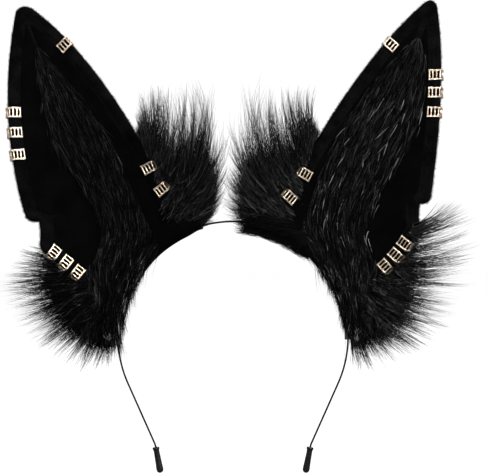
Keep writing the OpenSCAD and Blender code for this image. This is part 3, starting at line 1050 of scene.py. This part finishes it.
def build_fuzz(side, rng):
    """Fine pile that stands off the ear's rounded edge, all round it."""
    q = rng.uniform(0, 1, FUZZ_STRANDS)
    line = RIM_LINE[side][::-1]
    edge, ahead = along_line(line, q), along_line(line, np.minimum(q + 0.002, 1))
    tangent = unit(ahead - along_line(line, np.maximum(q - 0.002, 0)))
    outward = np.stack((tangent[:, 1], -tangent[:, 0]), -1)
    # How far round the edge's section each is, from straight outwards towards the back
    turn = rng.uniform(-1.75, 1.5, FUZZ_STRANDS)
    length = rng.uniform(0.7, 1.7, FUZZ_STRANDS)
    lie = rng.normal(0, 0.5, FUZZ_STRANDS)
    rim = on_sheet(edge, CURL_R)
    out = unit(rim - on_sheet(edge - outward, CURL_R))
    along = unit(on_sheet(edge + tangent, CURL_R) - rim)
    back = unit((rim - (0, CURL_Y, 0)) * (1, 1, 0))
    root_r = 2
    steps = []
    for run, bend in ((0, 0), (0.5, 0.2), (1, 0.6)):
        size = root_r + length * run
        shares = size * np.cos(turn) - HALF_SHEET, size * np.sin(turn), lie * length * bend
        moves = [way * share[:, None] for way, share in zip((out, back, along), shares)]
        steps.append(rim + sum(moves))
    fuzz = add_fur(f"{side}_edge_fuzz", side, np.stack(steps, 1), rng, FUZZ_R, NAP_SHARES, NAP)


# Cuffs ----------------------------------------------------

# How thick the cuff's frame, beads and rings are, as radii
CUFF_WIRE = 0.36
BEAD_R = 0.52
RING_WIRE = 0.24
# The radius of the wall's two bends, and how far apart the rings are
CUFF_CORNER = 1.9
RING_STEP = 2.05


def cuff_path():
    """The middle of a cuff's wall, from the tip of its front arm to the tip of its back arm."""
    half, foot = CUFF_HALF + CUFF_WALL / 2, -(CUFF_END + CUFF_WALL / 2)
    turn = np.linspace(0, math.pi / 2, 12)
    y = -half + CUFF_CORNER * (1 - np.cos(turn))
    z = foot + CUFF_CORNER * (1 - np.sin(turn))
    front = np.concatenate([[(-half, CUFF_ARM)], np.stack((y, z), -1)])
    return even(np.concatenate([front, front[::-1] * (-1, 1)]), 0.1)


def cuff_solid():
    """A frame of wire with beaded corners, and a row of oval rings across it."""
    path = cuff_path()
    run = run_of(path)
    heading = unit(np.gradient(path, axis=0))

    def lay(x, s):
        """Points on the wall and its way out there, at x across it and s along it."""
        y, z = np.interp(s, run, path[:, 0]), np.interp(s, run, path[:, 1])
        out = np.stack((np.interp(s, run, -heading[:, 1]), np.interp(s, run, heading[:, 0])), -1)
        normal = np.stack((0 * s, out[:, 0], out[:, 1]), -1)
        return np.stack((np.broadcast_to(x, s.shape), y, z), -1), unit(normal)

    parts = []
    rim = CUFF_WIDTH / 2 - CUFF_WIRE
    for x in (-rim, rim):
        rail, normal = lay(x, np.linspace(0, run[-1], 60))
        parts.append(tube(rail, CUFF_WIRE, normal))
        parts += [ball(rail[k], BEAD_R) for k in (0, -1)]
    for end in (0.1, run[-1] - 0.1):
        bar, normal = lay(np.linspace(-rim, rim, 6), np.full(6, end))
        parts.append(tube(bar, CUFF_WIRE, normal))
    turn = np.linspace(0, 2 * math.pi, 29)
    rings = round(run[-1] / RING_STEP)
    for k in range(rings):
        middle = run[-1] * (k + 0.5) / rings
        ring, normal = lay((rim - 0.1) * np.cos(turn), middle + 0.6 * RING_STEP * np.sin(turn))
        parts.append(tube(ring, RING_WIRE, normal, 7))
    return merge(parts)


def build_cuffs(side):
    """An ear's cuffs. It returns where their middles are, in the ear's frame."""
    k = SIDES.index(side)
    points, faces = cuff_solid()
    seats = []
    for name, (edges, places) in CUFF_SEATS.items():
        middle, turn = cuff_frame(edges[k], places[k])
        seats.append(middle)
        solid = points @ turn.T + middle, faces
        cuff = add_ear_piece(f"{side}_{name}_filigree", solid, side, [CHAMPAGNE])
        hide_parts(f"{side}_{name}")
        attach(cuff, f"{side}_{name}")
    return seats


# Band -----------------------------------------------------


# How thick the cap is at each distance from its mouth, as a radius
CAP_SHAPE = np.array((
    (0.5, 0.6), (0, 1.0), (0, 1.6), (0.3, 1.92), (0.8, 2.0), (1.3, 1.87), (1.8, 1.68), (3, 1.62),
    (6, 1.74), (9.5, 1.86), (11.5, 1.97), (12.8, 2.02), (13.9, 1.8), (14.6, 1.25), (14.93, 0.6),
    (CAP_LENGTH, 0.05),
))


def leg_point(x, z):
    """Points in the frame at the end of the band's arc, where the leg leaves along -x."""
    x, z = np.broadcast_arrays(np.asarray(x, float), np.asarray(z, float))
    return np.stack((x, 0 * x, z + BAND_R), -1) @ turn_y(-ARC_END).T


def build_wire(side):
    """Half of the spring wire, which bends at the crown. It returns where its cap goes."""
    a = np.radians(np.linspace(0, ARC_END, 150))
    arc = BAND_R * np.stack((-np.sin(a), 0 * a, np.cos(a)), -1)
    bend = np.radians(np.linspace(0, END_BEND, 12))
    bent = leg_point(-LEG - END_BEND_R * np.sin(bend), END_BEND_R * (1 - np.cos(bend)))
    leg = leg_point(np.linspace(-1, -LEG + 1, 30), 0)
    ahead = unit(bent[-1] - bent[-2])
    path = np.concatenate([arc, leg, bent, [bent[-1] + ahead * SOCKET]])
    points, faces = tube(path, WIRE_R, (0, 1, 0), 16)
    solid = to_side(points, side), faces
    wire = add_piece(f"{side}_spring_wire", solid, side, [LACQUER])
    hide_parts(f"{side}_band_wire", *(["crown_wire"] if side == "left" else []))
    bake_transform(wire)
    return bent[-1], ahead


def build_cap(side, mouth, ahead):
    """The rubber cap over an end of the wire, from its mouth on along its leg."""
    shape = curve_through(CAP_SHAPE, 6)
    across = np.cross(ahead, (0, 1, 0))
    turn = round_circle(40)
    section = np.cos(turn)[:, None] * np.array((0, 1, 0)) - np.sin(turn)[:, None] * across
    rings = mouth + ahead * shape[:, :1, None] + section * shape[:, 1:, None]
    points, faces = closed_rings(rings)
    solid = to_side(points, side), faces
    cap = add_piece(f"{side}_rubber_cap", solid, side, [RUBBER])
    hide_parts(f"{side}_end_cap")
    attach(cap, f"{side}_band")


# The object -----------------------------------------------

for number, side in enumerate(SIDES):
    build_cap(side, *build_wire(side))
    seats = build_cuffs(side)
    draws = [np.random.default_rng([11, number, k]) for k in range(11)]
    build_shell(side, draws[0])
    build_lining(side, "outer", draws[1])
    build_lining(side, "inner", draws[2])
    build_base(side, draws[3])
    build_pelt(side, "inner_tuft", INNER_BACK[side], 8, 6, 4)
    build_pelt(side, "outer_tuft", OUTER_TUFT[side], 12, 4, 4)
    for draw, (which, part, lines, *shape) in zip(draws[4:8], TUFTS):
        build_tuft(side, which, part, seats, draw, lines[side], *shape)
    build_front_fur(side, seats, draws[8])
    build_nap(side, draws[9])
    build_fuzz(side, draws[9])
    if side == "right":
        build_drape(side, seats, draws[10])

# The hidden nodes are kept as they are, and only take a material
HIDDEN = {"core": FELT, "frame_wire": STEEL, "sleeve": FELT}
for name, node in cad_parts.items():
    material = HIDDEN.get(name.split("_", 1)[1])
    for slot in node.material_slots if material else ():
        slot.material = material

# Stage, light and camera ----------------------------------

# In metres
VIEW_MIDDLE = (0.0063, 0, 0.0568)
VIEW_DISTANCE = 1.4
FLOOR_R, FLOOR_SIDES = 9, 96
WHITE = (1, 1, 1, 1)

low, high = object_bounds()
floor_mesh = bpy.data.meshes.new("floor")
floor_points = [
    (FLOOR_R * math.cos(t), FLOOR_R * math.sin(t), low.z) for t in round_circle(FLOOR_SIDES)
]
floor_mesh.from_pydata(floor_points, [], [list(range(FLOOR_SIDES))])
floor = bpy.data.objects.new("floor", floor_mesh)
bpy.context.scene.collection.objects.link(floor)
pale = principled("floor", (0.12, 0.12, 0.12), {"Roughness": 0.9, "Specular IOR Level": 0.1})
glow = pale.node_tree.nodes["Principled BSDF"].inputs
glow["Emission Color"].default_value = WHITE
glow["Emission Strength"].default_value = 0.95
floor_mesh.materials.append(pale)
# The floor is seen, but it neither lights the object nor is mirrored in it
floor.visible_diffuse = floor.visible_glossy = False

world = bpy.data.worlds.new("studio")
bpy.context.scene.world = world
world.use_nodes = True
sky = world.node_tree.nodes["Background"]
sky.inputs["Color"].default_value = WHITE
# The sky is dim as a light and bright as a backdrop
seen = world.node_tree.nodes.new("ShaderNodeLightPath")
level = world.node_tree.nodes.new("ShaderNodeMapRange")
level.inputs["To Min"].default_value = 0.28
level.inputs["To Max"].default_value = 1.05
world.node_tree.links.new(seen.outputs["Is Camera Ray"], level.inputs["Value"])
world.node_tree.links.new(level.outputs["Result"], sky.inputs["Strength"])


def soft_light(name, place, size, power):
    """A round area light that faces the object."""
    data = bpy.data.lights.new(name, "AREA")
    data.shape, data.size, data.energy = "DISK", size, power
    light = bpy.data.objects.new(name, data)
    light.location = place
    aim = Vector(VIEW_MIDDLE) - light.location
    light.rotation_euler = aim.to_track_quat("-Z", "Y").to_euler()
    bpy.context.scene.collection.objects.link(light)


soft_light("key", (-0.8, -1.4, 1.3), 0.45, 36)
soft_light("fill", (1.2, -1.3, 0.9), 0.5, 56)
soft_light("back", (0.3, 1.4, 1.3), 0.7, 30)

camera_data = bpy.data.cameras.new("camera")
camera_data.lens, camera_data.sensor_width = 180, 36
camera = bpy.data.objects.new("camera", camera_data)
camera.location = (VIEW_MIDDLE[0], -VIEW_DISTANCE, VIEW_MIDDLE[2])
camera.rotation_euler = (math.pi / 2, 0, 0)
bpy.context.scene.collection.objects.link(camera)
bpy.context.scene.camera = camera
bpy.context.scene.view_settings.view_transform = "Standard"
